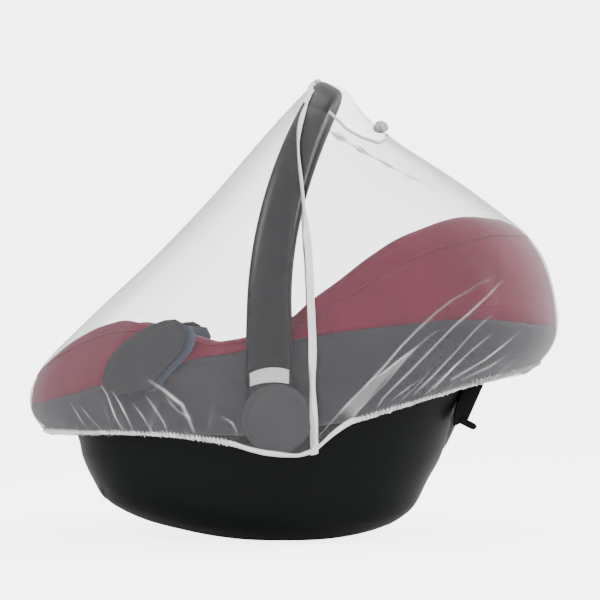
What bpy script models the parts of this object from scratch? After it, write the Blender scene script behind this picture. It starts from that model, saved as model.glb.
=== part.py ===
import math

import bmesh
import bpy
import numpy as np
from mathutils import Vector
from mathutils.bvhtree import BVHTree
from mathutils.kdtree import KDTree

for old in list(bpy.data.objects):
    bpy.data.objects.remove(old, do_unlink=True)

# Millimetres below; +X is the head end, -Y the near side, Z up from the floor
metresPerMm = 0.001

# Seat cover and tub
planPoints = 42
coverPower = 2.6
wallThickness = 4.5
pieceGap = 1.3
coverOverWall = 9.0

# Bracket and lever behind the back
bracketInner = 97.0
bracketOuter = 107.0
leverInner = 108.5
leverOuter = 112.0
leverRadius = 2.6
leverAxis = (223.5, 143.5)

# Net
netThickness = 1.5
netClearance = 1.3
deepestSag = 11.0
sagStart = 28.0
sagSpan = 90.0
hemShare = 0.8
handShare = 0.3
highestAxis = 500.0
chordShare = 1.25
panelColumns = 56
farGripStart = 20.0
tapeWidth = 9.0
tapeThickness = 1.0
tapeGap = 2.2
elasticRadius = 2.3

# Handle
archHalfWidth = 202.0
archBase = 158.0
archRise = 408.0
archPower = 2.8
armWidthLow = 54.0
armWidthHigh = 37.0
armDepthLow = 20.0
armDepthHigh = 26.0
armBlendStart = 260.0
armBlendSpan = 290.0
sectionPower = 0.62
archX = -29.0
leanStart = 290.0
leanSpan = 285.0
leanReach = 78.0
pivotX = -19.0
pivotZ = 157.6
pivotRadius = 41.4
capInner = 212.5
capOuter = 220.0
bossRadius = 30.0

# Height of each cover line against x: top of the rim, red and grey seam, lower lip
rimLine = (
    (-320, 206), (-300, 228), (-270, 250), (-240, 266), (-205, 276), (-174, 270), (-106, 247), (-58, 254),
    (-1, 277), (21, 298), (53, 320), (88, 348), (122, 371), (146, 382), (180, 395), (205, 403), (255, 405),
)
seamLine = (
    (-340, 166), (-233, 196), (-116, 229), (-76, 234), (25, 256), (76, 263), (145, 270), (180, 275), (238, 276),
    (340, 267),
)
lipLine = ((-285, 130), (-200, 137), (-57, 136), (65, 152), (146, 176), (209, 195), (255, 203))

# Hem of the net against x
hemLine = (
    (-300, 130), (-260, 132), (-207, 135.5), (-169, 136), (-123, 133.7), (-88, 129), (-57.6, 124), (-35, 115),
    (-12, 112), (22, 111), (30, 121), (46, 136), (65, 151), (99.6, 161.7), (146, 175.5), (180.5, 185.7),
    (209, 195), (260, 200.5),
)

# Ends, half width and roundness of each tub ring, with its height at both ends and in the middle
tubColumns = ("left", "leftZ", "right", "rightZ", "middleZ", "half", "power")
tubRings = (
    (-58, 0, 32, 0, 0, 88, 3.0),
    (-108, 5, 81, 5, 3, 118, 2.9),
    (-158, 15, 124, 16.5, 9, 136, 2.8),
    (-200, 25.6, 144, 27.6, 20, 147, 2.7),
    (-237, 44, 157, 40, 36, 154, 2.7),
    (-259, 74, 175, 74, 70, 161, 2.6),
    (-271, 100, 192, 104, 102, 165, 2.6),
    (-275, 118, 219, 160, 125, 167, 2.6),
)
tubMiddle = -12.0

# Seam tape in the side view, from the hem up to the grip
tapeLine = (
    (26, 111), (27, 156), (23, 251), (19, 358), (14, 431), (6, 480), (7, 510), (17, 540), (29, 565), (40, 578),
)
# Net in the middle plane, from the grip down to the hem
footProfile = (
    (26, 580), (2, 552), (-31, 509), (-196, 329), (-248, 277), (-280, 250), (-300, 235), (-324, 218), (-332, 205),
    (-339, 186), (-341, 172), (-338, 157), (-330, 148), (-321, 140), (-310, 134), (-296, 130),
)
headProfile = (
    (123, 515), (157, 477), (194, 443), (231, 420), (274, 396), (293, 378), (313, 353), (331, 326), (340, 283),
    (336, 254), (329, 239), (318, 222), (298, 213), (274, 205), (258, 200.5),
)
handEdge = ((19, 546), (44, 528), (64, 507), (83, 497), (107, 491), (116, 497))
ridgeEdge = ((112, 8, 527), (99, 14, 539), (91, 18, 548), (80, 22, 562), (71, 24, 577), (55, 25, 586), (38, 25, 588))

# Folds of the net in the side view: upper end, lower end, height and half width
foldColumns = ("topX", "topZ", "lowX", "lowZ", "height", "spread")
footFolds = (
    (-262, 180, -235, 140, 3.0, 9),
    (-232, 190, -205, 136, 4.0, 9),
    (-212, 185, -180, 136, 4.5, 9),
    (-190, 175, -150, 134, 3.5, 10),
    (-172, 200, -118, 134, 6.0, 12),
    (-92, 168, -70, 128, 2.5, 9),
)
headFolds = (
    (233, 305, 35, 125, 5.0, 9),
    (150, 247, 75, 160, 4.0, 10),
    (238, 320, 92, 165, 4.5, 9),
    (225, 280, 118, 170, 4.0, 9),
    (225, 255, 150, 180, 3.5, 9),
    (250, 245, 180, 188, 3.0, 9),
)

hookOutline = (
    (-228, 213), (-219, 233), (-201, 251), (-171, 269), (-153, 275), (-141, 276), (-131.5, 271), (-128, 263),
    (-126.7, 251), (-131.5, 239), (-141, 227), (-159, 209), (-171, 191), (-225, 181), (-229.6, 197),
)
guideOutline = ((-168, 262), (-141, 270), (-122, 268), (-116, 255), (-121, 238), (-149, 208), (-166, 188), (-178, 190))
bracketOutline = ((206, 180), (212, 190), (237, 196), (217, 151), (199, 143), (200, 160))
leverOutline = ((207, 151), (212, 154), (226, 147), (228, 143), (225, 140), (221, 140), (207, 147))


# Shared tools
def makeMaterial(name, color, roughness, metallic=0.0):
    material = bpy.data.materials.new(name)
    material.use_nodes = True
    shader = material.node_tree.nodes["Principled BSDF"]
    shader.inputs["Base Color"].default_value = (*color, 1.0)
    shader.inputs["Roughness"].default_value = roughness
    shader.inputs["Metallic"].default_value = metallic
    material.diffuse_color = (*color, 1.0)
    return material


parts = bpy.data.collections.new("mosquito_net_on_infant_carrier")
cutters = bpy.data.collections.new("cutters")
bpy.context.scene.collection.children.link(parts)
bpy.context.scene.collection.children.link(cutters)
cutters.hide_render = True


def makeObject(name, points, faces, material=None, home=parts):
    mesh = bpy.data.meshes.new(name)
    mesh.from_pydata([tuple(np.asarray(p, float) * metresPerMm) for p in points], [], faces)
    work = bmesh.new()
    work.from_mesh(mesh)
    bmesh.ops.recalc_face_normals(work, faces=work.faces[:])
    work.to_mesh(mesh)
    work.free()
    obj = bpy.data.objects.new(name, mesh)
    home.objects.link(obj)
    if material:
        mesh.materials.append(material)
    if home is cutters:
        obj.hide_render = True
        obj.display_type = "WIRE"
    return obj


def smoothLine(table, span=14.0):
    """Height against x as a smooth curve through the rows of a table."""
    xs = np.arange(table[0][0] - 60.0, table[-1][0] + 60.0, 2.0)
    zs = np.interp(xs, [row[0] for row in table], [row[1] for row in table])
    reach = int(span / 2.0)
    window = np.hanning(2 * reach + 3)
    padded = np.pad(zs, reach + 1, mode="edge")
    return xs, np.convolve(padded, window / window.sum(), mode="valid")


def planRing(left, right, half, power, grow=0.0, count=planPoints):
    """Rounded oval in plan, grown outwards by the given width."""
    turn = np.linspace(0.0, 2.0 * math.pi, count, endpoint=False)
    c, s = np.cos(turn), np.sin(turn)
    middle = (left + right) / 2
    x = middle + ((right - left) / 2 + grow) * np.sign(c) * np.abs(c) ** (2 / power)
    y = (half + grow) * np.sign(s) * np.abs(s) ** (2 / power)
    return np.stack([x, y, np.zeros(count)], axis=1)


def atHeight(ring, line, lift=0.0):
    raised = ring.copy()
    raised[:, 2] = np.interp(ring[:, 0], *line) + lift
    return raised


def loft(rings, closed=False):
    """Points and faces through rings of equal count, capped at both ends or joined into a loop."""
    count = len(rings[0])
    points = np.concatenate(rings)
    faces = []
    last = len(rings) if closed else len(rings) - 1
    for level in range(last):
        low = level * count
        high = (level + 1) % len(rings) * count
        for i in range(count):
            j = (i + 1) % count
            faces.append((low + i, low + j, high + j))
            faces.append((low + i, high + j, high + i))
    if not closed:
        faces.append(tuple(range(count)))
        faces.append(tuple(len(points) - count + i for i in range(count)))
    return points, faces


def extruded(outline, yFrom, yTo):
    """Plate with a side-view outline between two planes of y."""
    count = len(outline)
    points = [(x, yFrom, z) for x, z in outline] + [(x, yTo, z) for x, z in outline]
    faces = [tuple(range(count)), tuple(range(count, 2 * count))]
    faces += [(i, (i + 1) % count, count + (i + 1) % count, count + i) for i in range(count)]
    return points, faces


def disc(radius, yFrom, yTo, centre=(pivotX, pivotZ), count=32):
    turn = np.linspace(0.0, 2.0 * math.pi, count, endpoint=False)
    return extruded([(centre[0] + radius * math.cos(a), centre[1] + radius * math.sin(a)) for a in turn], yFrom, yTo)


def addModifier(obj, kind, **settings):
    modifier = obj.modifiers.new(kind.title(), kind)
    for key, value in settings.items():
        setattr(modifier, key, value)
    return modifier


def addBoolean(obj, other, operation):
    addModifier(obj, "BOOLEAN", operation=operation, solver="EXACT", object=other)


def addBevel(obj, width, segments=2, angle=40):
    addModifier(
        obj, "BEVEL", width=width * metresPerMm, segments=segments, limit_method="ANGLE",
        angle_limit=math.radians(angle), use_clamp_overlap=True,
    )


netCloth = makeMaterial("net_cloth", (0.86, 0.87, 0.88), 0.8)
bindingTape = makeMaterial("binding_tape", (0.88, 0.88, 0.88), 0.75)
tubPlastic = makeMaterial("tub_plastic", (0.022, 0.026, 0.028), 0.5)
coverRed = makeMaterial("cover_red", (0.3, 0.012, 0.03), 0.85)
coverGrey = makeMaterial("cover_grey", (0.05, 0.046, 0.052), 0.85)
handlePlastic = makeMaterial("handle_plastic", (0.03, 0.032, 0.035), 0.4)
capPlastic = makeMaterial("cap_plastic", (0.06, 0.062, 0.066), 0.45)
silverPlate = makeMaterial("silver_plate", (0.55, 0.56, 0.57), 0.35, 0.6)
hookPlastic = makeMaterial("hook_plastic", (0.07, 0.07, 0.075), 0.5)
guidePlastic = makeMaterial("guide_plastic", (0.13, 0.15, 0.2), 0.5)

rimHeights = smoothLine(rimLine)
seamHeights = smoothLine(seamLine)
lipHeights = smoothLine(lipLine)
hemHeights = smoothLine(hemLine, 6.0)


# Tub: outside and inside follow the same rings, one wall apart
def tubRing(row, grow=0.0, lift=0.0):
    ring = planRing(row["left"], row["right"], row["half"], row["power"], grow)
    reach = np.where(ring[:, 0] < tubMiddle, tubMiddle - row["left"], row["right"] - tubMiddle)
    ends = np.where(ring[:, 0] < tubMiddle, row["leftZ"], row["rightZ"])
    share = np.clip(np.abs(ring[:, 0] - tubMiddle) / reach, 0.0, 1.0)
    ring[:, 2] = row["middleZ"] + (ends - row["middleZ"]) * share**2 + lift
    return ring


def rimRing():
    return atHeight(planRing(-316, 255, 175, coverPower), rimHeights)


def wallFoot(grow=0.0):
    return atHeight(planRing(-279, 246, 168, coverPower, grow), lipHeights)


def wallTop(grow=0.0, lift=0.0):
    ring = planRing(-308, 249, 171, coverPower, grow)
    ring[:, 2] = rimRing()[:, 2] - coverOverWall + lift
    return ring


def tubSide(grow, floorLift):
    """Rings from the floor to the top of the wall."""
    rows = [dict(zip(tubColumns, row)) for row in tubRings]
    rings = []
    for level, row in enumerate(rows):
        share = max(0.0, 1.0 - level / (len(rows) - 1))
        rings.append(tubRing(row, grow, floorLift * (0.25 + 0.75 * share)))
    rings.append(wallFoot(grow))
    rings.append(wallTop(grow))
    return rings


outside = tubSide(0.0, 0.0)
inside = tubSide(-wallThickness, wallThickness)
hull = makeObject("hull", *loft(outside + inside[::-1]), tubPlastic)
for side, name in ((-1, "boss_near"), (1, "boss_far")):
    boss = makeObject(name, *disc(bossRadius, side * 165.5, side * 191.5, count=28), home=cutters)
    addBoolean(hull, boss, "UNION")
    plate = extruded(bracketOutline, side * bracketInner, side * bracketOuter)
    plate = makeObject(f"bracket_{name}", *plate, home=cutters)
    addBoolean(hull, plate, "UNION")


# Cover: seam ring at the widest line, quarter rounds up to the rim and down to the lip
def seamRing(lift=0.0):
    return atHeight(planRing(-337, 338, 188, coverPower), seamHeights, lift)


def lipRing():
    return atHeight(planRing(-283, 251, 174, coverPower), lipHeights)


def quarter(wide, narrow, share):
    """Ring on the quarter round that leaves the wide ring upright and reaches the narrow one level."""
    turn = share * math.pi / 2
    ring = narrow + (wide - narrow) * math.cos(turn)
    ring[:, 2] = wide[:, 2] + (narrow[:, 2] - wide[:, 2]) * math.sin(turn)
    return ring


def wallAt(heights, grow):
    """Outside of the tub wall at one height for each point of the ring."""
    low, high = wallFoot(grow), wallTop(grow)
    share = ((heights - low[:, 2]) / (high[:, 2] - low[:, 2]))[:, None]
    ring = low + (high - low) * share
    ring[:, 2] = heights
    return ring


seamTop = seamRing(lift=0.2)
seamUnder = seamRing(lift=-0.2)
crest = rimRing()
shoulder = planRing(-292, 226, 154, coverPower)
shoulder[:, 2] = crest[:, 2] - 30
bowlRings = (
    (-252, 190, 142, 2.6, ((-252, 152), (-100, 128), (0, 142), (100, 208), (190, 305))),
    (-195, 130, 122, 2.5, ((-195, 108), (-60, 84), (50, 106), (130, 182))),
    (-120, 55, 84, 2.4, ((-120, 80), (-40, 68), (55, 94))),
)
bowl = [atHeight(planRing(*row[:4]), smoothLine(row[4])) for row in bowlRings]
underside = tubSide(-wallThickness - pieceGap, wallThickness + pieceGap)
underside[-1] = wallTop(-wallThickness - pieceGap, pieceGap)
coverRings = (
    bowl[::-1]
    + [shoulder]
    + [quarter(shoulder, crest, share) for share in (0.35, 0.7, 1.0)]
    + [quarter(seamTop, crest, share) for share in (0.8, 0.6, 0.4, 0.2, 0.0)]
    + [wallAt(seamTop[:, 2], pieceGap), wallTop(pieceGap, pieceGap)]
    + underside[::-1]
)
makeObject("seat_cover", *loft(coverRings), coverRed)

lip = lipRing()
bandRings = [wallAt(seamUnder[:, 2], pieceGap), wallAt(lip[:, 2] + 2.5, pieceGap)]
bandRings += [quarter(seamUnder, lip, share) for share in (1.0, 0.8, 0.6, 0.4, 0.2, 0.0)]
band = makeObject("cover_band", *loft(bandRings, closed=True), coverGrey)
bossHole = makeObject("boss_hole", *disc(bossRadius + 2.0, -230, 230, count=28), home=cutters)
addBoolean(band, bossHole, "DIFFERENCE")


# Handle: one arch with a round end on each arm
def archPoint(turn):
    """Middle of the handle, turn 0 at the near pivot and pi at the far one."""
    c, s = math.cos(turn), math.sin(turn)
    y = -archHalfWidth * math.copysign(abs(c) ** (2 / archPower), c)
    z = archBase + archRise * max(s, 0.0) ** (2 / archPower)
    lean = max(0.0, (z - leanStart) / leanSpan)
    return Vector((archX + leanReach * lean**2, y, z)), lean


def archSection(turn, grow=0.0, count=16):
    centre, lean = archPoint(turn)
    step = 0.004
    along = (archPoint(min(turn + step, math.pi))[0] - archPoint(max(turn - step, 0.0))[0]).normalized()
    tilt = math.atan(2 * leanReach * lean / leanSpan)
    across = Vector((math.cos(tilt), 0.0, -math.sin(tilt)))
    outwards = across.cross(along).normalized()
    share = min(1.0, max(0.0, (centre.z - armBlendStart) / armBlendSpan))
    width = armWidthLow + (armWidthHigh - armWidthLow) * share
    depth = armDepthLow + (armDepthHigh - armDepthLow) * share
    points = []
    for i in range(count):
        a = 2 * math.pi * (i + 0.5) / count
        c, s = math.cos(a), math.sin(a)
        u = (width / 2 + grow) * math.copysign(abs(c) ** sectionPower, c)
        v = (depth / 2 + grow) * math.copysign(abs(s) ** sectionPower, s)
        points.append(centre + across * u + outwards * v)
    return np.array(points)


def archTurns(count):
    """Turns that space the sections evenly along the arch."""
    dense = np.linspace(0.0, math.pi, 800)
    places = np.array([archPoint(a)[0] for a in dense])
    length = np.concatenate([[0.0], np.cumsum(np.linalg.norm(np.diff(places, axis=0), axis=1))])
    return np.interp(np.linspace(0.0, length[-1], count), length, dense)


handle = makeObject("handle", *loft([archSection(a, count=14) for a in archTurns(38)]), handlePlastic)
for side, name in ((-1, "arm_end_near"), (1, "arm_end_far")):
    armEnd = makeObject(name, *disc(pivotRadius, side * 192.0, side * 212.0), home=cutters)
    addBoolean(handle, armEnd, "UNION")

plateX = pivotX - 4.0
plateThickness = 1.4
plateTurns = np.radians(np.linspace(118, 72, 8))
plateOutline = [(plateX + 60 * math.cos(a), pivotZ + 61 * math.sin(a)) for a in plateTurns]
plateOutline += [(plateX + 59 * math.cos(a), pivotZ + 43.5 * math.sin(a)) for a in plateTurns[::-1]]
for side, name in ((-1, "near"), (1, "far")):
    cap = makeObject(f"pivot_cap_{name}", *disc(pivotRadius, side * capInner, side * capOuter), capPlastic)
    addBevel(cap, 1.6, segments=1)
    plate = extruded(plateOutline, side * capInner, side * (capInner + plateThickness))
    makeObject(f"silver_plate_{name}", *plate, silverPlate)


# Belt hooks and guides beside the cover, turned with its plan
def turnedPlate(outline, yInner, yOuter, side, slope=0.19, pivot=-175.0):
    points, faces = extruded(outline, yInner, yOuter)
    points = [(x, side * (y + (x - pivot) * slope), z) for x, y, z in points]
    return points, faces


hookInner, hookOuter = 178.8, 190.3
guideInner, guideOuter = 174.8, 178.1
for side, name in ((-1, "near"), (1, "far")):
    hook = makeObject(f"belt_hook_{name}", *turnedPlate(hookOutline, hookInner, hookOuter, side), hookPlastic)
    addBevel(hook, 2.0)
    guide = turnedPlate(guideOutline, guideInner, guideOuter, side)
    makeObject(f"belt_guide_{name}", *guide, guidePlastic)

# Release lever: a bar under the back with an arm outside each bracket
lever = makeObject("release_lever", *disc(leverRadius, -leverInner, leverInner, centre=leverAxis, count=14), tubPlastic)
for side, name in ((-1, "lever_arm_near"), (1, "lever_arm_far")):
    arm = makeObject(name, *extruded(leverOutline, side * leverInner - side, side * leverOuter), home=cutters)
    addBoolean(lever, arm, "UNION")


# Tight skin over everything that holds the net out
def grownOut(ring, grow, rise):
    """Ring moved outwards in plan and upwards."""
    nextPoint = np.roll(ring, -1, axis=0) - np.roll(ring, 1, axis=0)
    out = np.stack([nextPoint[:, 1], -nextPoint[:, 0], np.zeros(len(ring))], axis=1)
    out /= np.linalg.norm(out, axis=1)[:, None]
    moved = ring + out * grow
    moved[:, 2] += rise
    return moved


skinGap = netClearance + netThickness
supports = [archSection(a, skinGap) for a in archTurns(110)]
for share in (0.0, 0.15, 0.3, 0.45, 0.6, 0.75, 0.9, 1.0):
    turn = share * math.pi / 2
    supports.append(grownOut(quarter(seamRing(), crest, share), skinGap * math.cos(turn), skinGap * math.sin(turn)))
    supports.append(grownOut(quarter(seamRing(), lip, share), skinGap * max(0.85, math.cos(turn)), -skinGap * math.sin(turn)))
for side in (-1, 1):
    for radius, y in ((pivotRadius, capOuter + skinGap + 0.6), (pivotRadius + skinGap, capOuter - 1.0)):
        supports.append(np.array(disc(radius, side * y, side * (y - 0.5), count=48)[0]))
    supports.append(np.array(extruded(plateOutline, side * 200, side * (capInner + plateThickness + skinGap))[0]))
    supports.append(np.array(turnedPlate(hookOutline, hookInner, hookOuter + skinGap, side)[0]))
supportPoints = np.concatenate(supports)
handTip = np.array([(123.0, 0.0, 516.0), (118.0, -24.0, 508.0), (118.0, 24.0, 508.0)])
hemSkirt = planRing(-285, 254, 177, coverPower, count=64)
hemSkirt = atHeight(hemSkirt, hemHeights, -22.0)

skinMesh = bmesh.new()
for point in np.concatenate([supportPoints, handTip, hemSkirt]):
    skinMesh.verts.new(point)
bmesh.ops.convex_hull(skinMesh, input=skinMesh.verts[:])
loose = [v for v in skinMesh.verts if not v.link_faces]
bmesh.ops.delete(skinMesh, geom=loose, context="VERTS")
skin = BVHTree.FromBMesh(skinMesh)
skinMesh.free()

supportTree = KDTree(len(supportPoints))
for i, point in enumerate(supportPoints):
    supportTree.insert(point, i)
supportTree.balance()


# Net panels: rows run from the near tape round one end to the far tape
def alongLine(table, shares):
    """Points of a line at shares of its length."""
    table = np.array(table, float)
    length = np.concatenate([[0.0], np.cumsum(np.linalg.norm(np.diff(table, axis=0), axis=1))])
    at = np.asarray(shares) * length[-1]
    return np.stack([np.interp(at, length, table[:, k]) for k in range(table.shape[1])], axis=1)


def segmentDistance(p, a, b):
    a, b = np.array(a, float), np.array(b, float)
    share = np.clip(np.dot(p - a, b - a) / np.dot(b - a, b - a), 0.0, 1.0)
    return np.linalg.norm(p - a - (b - a) * share)


def foldRise(x, z, folds):
    rise = 0.0
    for row in folds:
        fold = dict(zip(foldColumns, row))
        away = segmentDistance(np.array((x, z)), (fold["topX"], fold["topZ"]), (fold["lowX"], fold["lowZ"]))
        rise += fold["height"] * math.exp(-((away / fold["spread"]) ** 2))
    return rise


def hemBow(x, start, end):
    """How far the hem runs above or below the straight row at x."""
    share = (x - start[0]) / (end[0] - start[0])
    return np.interp(x, *hemHeights) - (start[2] + (end[2] - start[2]) * share)


def skinHit(origin, target):
    ray = (Vector(target) - Vector(origin)).normalized()
    hit = skin.ray_cast(Vector(origin), ray)[0]
    if hit is None:
        raise ValueError(f"no skin beyond {tuple(target)}")
    return np.array(hit), np.array(ray)


def sideHit(x, z, side):
    """Point of the skin straight beside a point of the middle plane."""
    return skinHit((x, 0.0, z), (x, side, z))[0]


def chordDepth(grid):
    """How far the flat faces round each point of the grid cut inside the skin."""
    rows, columns = grid.shape[:2]
    depth = np.zeros((rows, columns))
    for r in range(rows):
        for c in range(columns):
            for down, along in ((0, 1), (1, 0), (1, 1), (1, -1)):
                if r + down < rows and 0 <= c + along < columns:
                    middle = (grid[r, c] + grid[r + down, c + along]) / 2
                    found = skin.find_nearest(Vector(middle))[3]
                    depth[r, c] = max(depth[r, c], found)
                    depth[r + down, c + along] = max(depth[r + down, c + along], found)
    return depth


def handDip(start, end, reach):
    """How far the near edge of the hand opening hangs below a straight row."""
    x = start[0] + (end[0] - start[0]) * reach
    straight = start[2] + (end[1] - start[2]) * reach
    edgeHeight = np.interp(x, [p[0] for p in handEdge], [p[1] for p in handEdge])
    return min(0.0, edgeHeight - straight) * (1.0 - reach**12)


def panelGrid(nearEdge, farEdge, profile, folds, columns, shares, topEdge=None):
    """Outer face of a panel as a grid of points, rows from the top edge to the hem."""
    middle = alongLine(profile, shares)
    grid = np.zeros((len(shares), columns + 1, 3))
    outwards = np.zeros_like(grid)
    for r, share in enumerate(shares):
        for c in range(columns + 1):
            turn = math.pi * c / columns
            edge = nearEdge[r] if turn <= math.pi / 2 else farEdge[r]
            foot = np.array((edge[0], 0.0, edge[2]))
            end = np.array((middle[r, 0], 0.0, middle[r, 1]))
            target = foot + (end - foot) * math.sin(turn) + (edge - foot) * abs(math.cos(turn))
            bow = hemBow(target[0], edge, end) * max(0.0, (share - hemShare) / (1.0 - hemShare))
            if topEdge is not None and turn <= math.pi / 2:
                bow += handDip(nearEdge[0], middle[0], math.sin(turn)) * max(0.0, 1.0 - share / handShare) ** 1.3
            origin = np.array((edge[0], 0.0, min(edge[2] + bow, highestAxis)))
            grid[r, c], outwards[r, c] = skinHit(origin, target + np.array((0.0, 0.0, bow)))
    if topEdge is not None:
        grid[0] = topEdge
    grid += outwards * chordDepth(grid)[:, :, None] * chordShare
    for r in range(len(shares)):
        for c in range(columns + 1):
            x, _, z = grid[r, c]
            away = supportTree.find(grid[r, c])[2]
            free = min(1.0, max(0.0, (away - sagStart) / sagSpan))
            sag = deepestSag * free * free * (3 - 2 * free)
            fade = min(1.0, min(c, columns - c) / 2)
            grid[r, c] += outwards[r, c] * (foldRise(x, z, folds) * fade - sag)
    return grid


def gridNormals(grid):
    down = np.gradient(grid, axis=0)
    along = np.gradient(grid, axis=1)
    normals = np.cross(down, along)
    normals /= np.linalg.norm(normals, axis=2)[:, :, None]
    centre = grid.reshape(-1, 3).mean(axis=0) * np.array((0.3, 0.0, 1.0))
    facing = ((grid - centre) * normals).sum(axis=2)
    return normals if facing.mean() > 0 else -normals


def sheetSolid(grid, thickness):
    """Closed sheet from its outer face and the same face moved inwards."""
    rows, columns = grid.shape[:2]
    inner = grid - gridNormals(grid) * thickness
    points = np.concatenate([grid.reshape(-1, 3), inner.reshape(-1, 3)])
    back = rows * columns
    faces = []
    for r in range(rows - 1):
        for c in range(columns - 1):
            a, b = r * columns + c, r * columns + c + 1
            d, e = a + columns, b + columns
            faces += [(a, b, e), (a, e, d), (back + a, back + e, back + b), (back + a, back + d, back + e)]
    border = [(0, c) for c in range(columns)] + [(r, columns - 1) for r in range(1, rows)]
    border += [(rows - 1, c) for c in range(columns - 2, -1, -1)] + [(r, 0) for r in range(rows - 2, 0, -1)]
    ids = [r * columns + c for r, c in border]
    for i, a in enumerate(ids):
        b = ids[(i + 1) % len(ids)]
        faces.append((a, back + a, back + b, b))
    return points, faces


footShares = np.concatenate([(0.0, 0.02, 0.05), np.linspace(0.1, 0.7, 7), np.linspace(0.76, 1.0, 7)])
footSide = alongLine(tapeLine[::-1], footShares)
footNear, footFar = (np.array([sideHit(x, z, side) for x, z in footSide]) for side in (-1, 1))
footGrid = panelGrid(footNear, footFar, footProfile, footFolds, panelColumns, footShares)

# The head panel meets the tape along the same line; its far half reaches on over the grip
headShares = np.concatenate([(0.0, 0.04, 0.08, 0.13), np.linspace(0.2, 0.62, 6), np.linspace(0.68, 1.0, 8)])
besideTape = np.array((2.8, 0.0, 0.0))
nearRun = footGrid[footGrid[:, 0, 2] < 550, 0] + besideTape
farGrip = [p for p in footGrid[0, panelColumns // 2 : -1] if p[1] > farGripStart]
farRun = np.concatenate([farGrip, footGrid[:, -1]]) + besideTape
headNear, headFar = (alongLine(run, headShares) for run in (nearRun, farRun))
handNear = [headNear[0]] + [sideHit(x, z, -1) for x, z in handEdge[1:]]
handNear += [skinHit((60, 0, 440), point)[0] for point in ((121, -80, 502), (123, -35, 510))] + [handTip[0]]
halfShares = np.linspace(0.0, 1.0, panelColumns // 2 + 1)
handNear = alongLine(handNear, halfShares)[:-1]
handNear[1:] = [skin.find_nearest(Vector(p))[0] for p in handNear[1:]]
ridge = alongLine([handTip[0]] + list(ridgeEdge) + [headFar[0]], halfShares)
headTop = np.concatenate([handNear, ridge])
headGrid = panelGrid(headNear, headFar, headProfile, headFolds, panelColumns, headShares, headTop)
makeObject("net_foot_panel", *sheetSolid(footGrid, netThickness), netCloth)
makeObject("net_head_panel", *sheetSolid(headGrid, netThickness), netCloth)


def skinNormals(path):
    """Outward normals of the skin along a path, smoothed over the neighbouring points."""
    normals = np.array([skin.find_nearest(Vector(p))[1] for p in path])
    inside = (normals * (path - np.array((0.0, 0.0, 300.0)))).sum(axis=1) < 0
    normals[inside] *= -1
    padded = np.pad(normals, ((2, 2), (0, 0)), mode="edge")
    normals = sum(padded[k : k + len(path)] for k in range(5))
    return normals / np.linalg.norm(normals, axis=1)[:, None]


# Tape along the edge of the foot panel, from hem to hem over the grip
def edgeStrip(path, normals, width, thickness, gap):
    along = np.gradient(path, axis=0)
    across = np.cross(normals, along)
    across /= np.linalg.norm(across, axis=1)[:, None]
    rings = []
    for p, n, a in zip(path, normals, across):
        near = p + n * gap
        far = p + n * (gap + thickness)
        rings.append(np.array([near - a * width / 2, near + a * width / 2, far + a * width / 2, far - a * width / 2]))
    return loft(rings)


tapePath = np.concatenate([footGrid[::-1, 0], footGrid[0, 1:-1], footGrid[:, -1]])
tapeNormals = skinNormals(tapePath)
makeObject("seam_tape", *edgeStrip(tapePath, tapeNormals, tapeWidth, tapeThickness, tapeGap), bindingTape)


# Elastic along the rear edge of the hand opening
def tube(path, radius, count=7):
    along = np.gradient(path, axis=0)
    along /= np.linalg.norm(along, axis=1)[:, None]
    rings = []
    for p, t in zip(path, along):
        side = np.cross(t, (0.0, 0.0, 1.0))
        side /= np.linalg.norm(side)
        up = np.cross(side, t)
        turns = np.linspace(0.0, 2 * math.pi, count, endpoint=False)
        rings.append(np.array([p + side * radius * math.cos(a) + up * radius * math.sin(a) for a in turns]))
    return loft(rings)


edge = headGrid[0]
edgeNormals = skinNormals(edge)
inwards = np.cross(edgeNormals, np.gradient(edge, axis=0))
inwards /= np.linalg.norm(inwards, axis=1)[:, None]
inwards *= np.sign((inwards * (headGrid[0] - headGrid[1])).sum())
middleOfSheet = edge - edgeNormals * netThickness / 2
elasticPath = (middleOfSheet + inwards * (elasticRadius + 0.8))[3:28]
makeObject("grip_elastic", *tube(elasticPath, elasticRadius), bindingTape)


# Gathered tufts where the binding ends are drawn together
def gatheredTuft(centre, width, height, lobes=5, count=25):
    rings = []
    for level, (size, lobe) in enumerate(((0.45, 0.05), (0.8, 0.16), (1.0, 0.26), (0.6, 0.2))):
        turns = np.linspace(0.0, 2 * math.pi, count, endpoint=False)
        radius = width / 2 * size * (1 + lobe * np.cos(lobes * turns + level * 0.4))
        z = np.full(count, height * level / 3)
        rings.append(np.array(centre) + np.stack([radius * np.cos(turns), radius * np.sin(turns), z], axis=1))
    return loft(rings)


topPoint = footGrid[0, panelColumns // 2] + tapeNormals[len(tapePath) // 2] * 5.2
makeObject("gather_tab_top", *gatheredTuft(topPoint + np.array((0, -2, 0)), 9, 7), bindingTape)
rearPoint = elasticPath[-1] + np.array((-11.3, -2.0, -4.0))
makeObject("gather_tab_rear", *gatheredTuft(rearPoint, 17, 16), bindingTape)
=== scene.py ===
import math

import bmesh
import bpy
import numpy as np
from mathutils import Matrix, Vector
from mathutils.bvhtree import BVHTree


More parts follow.
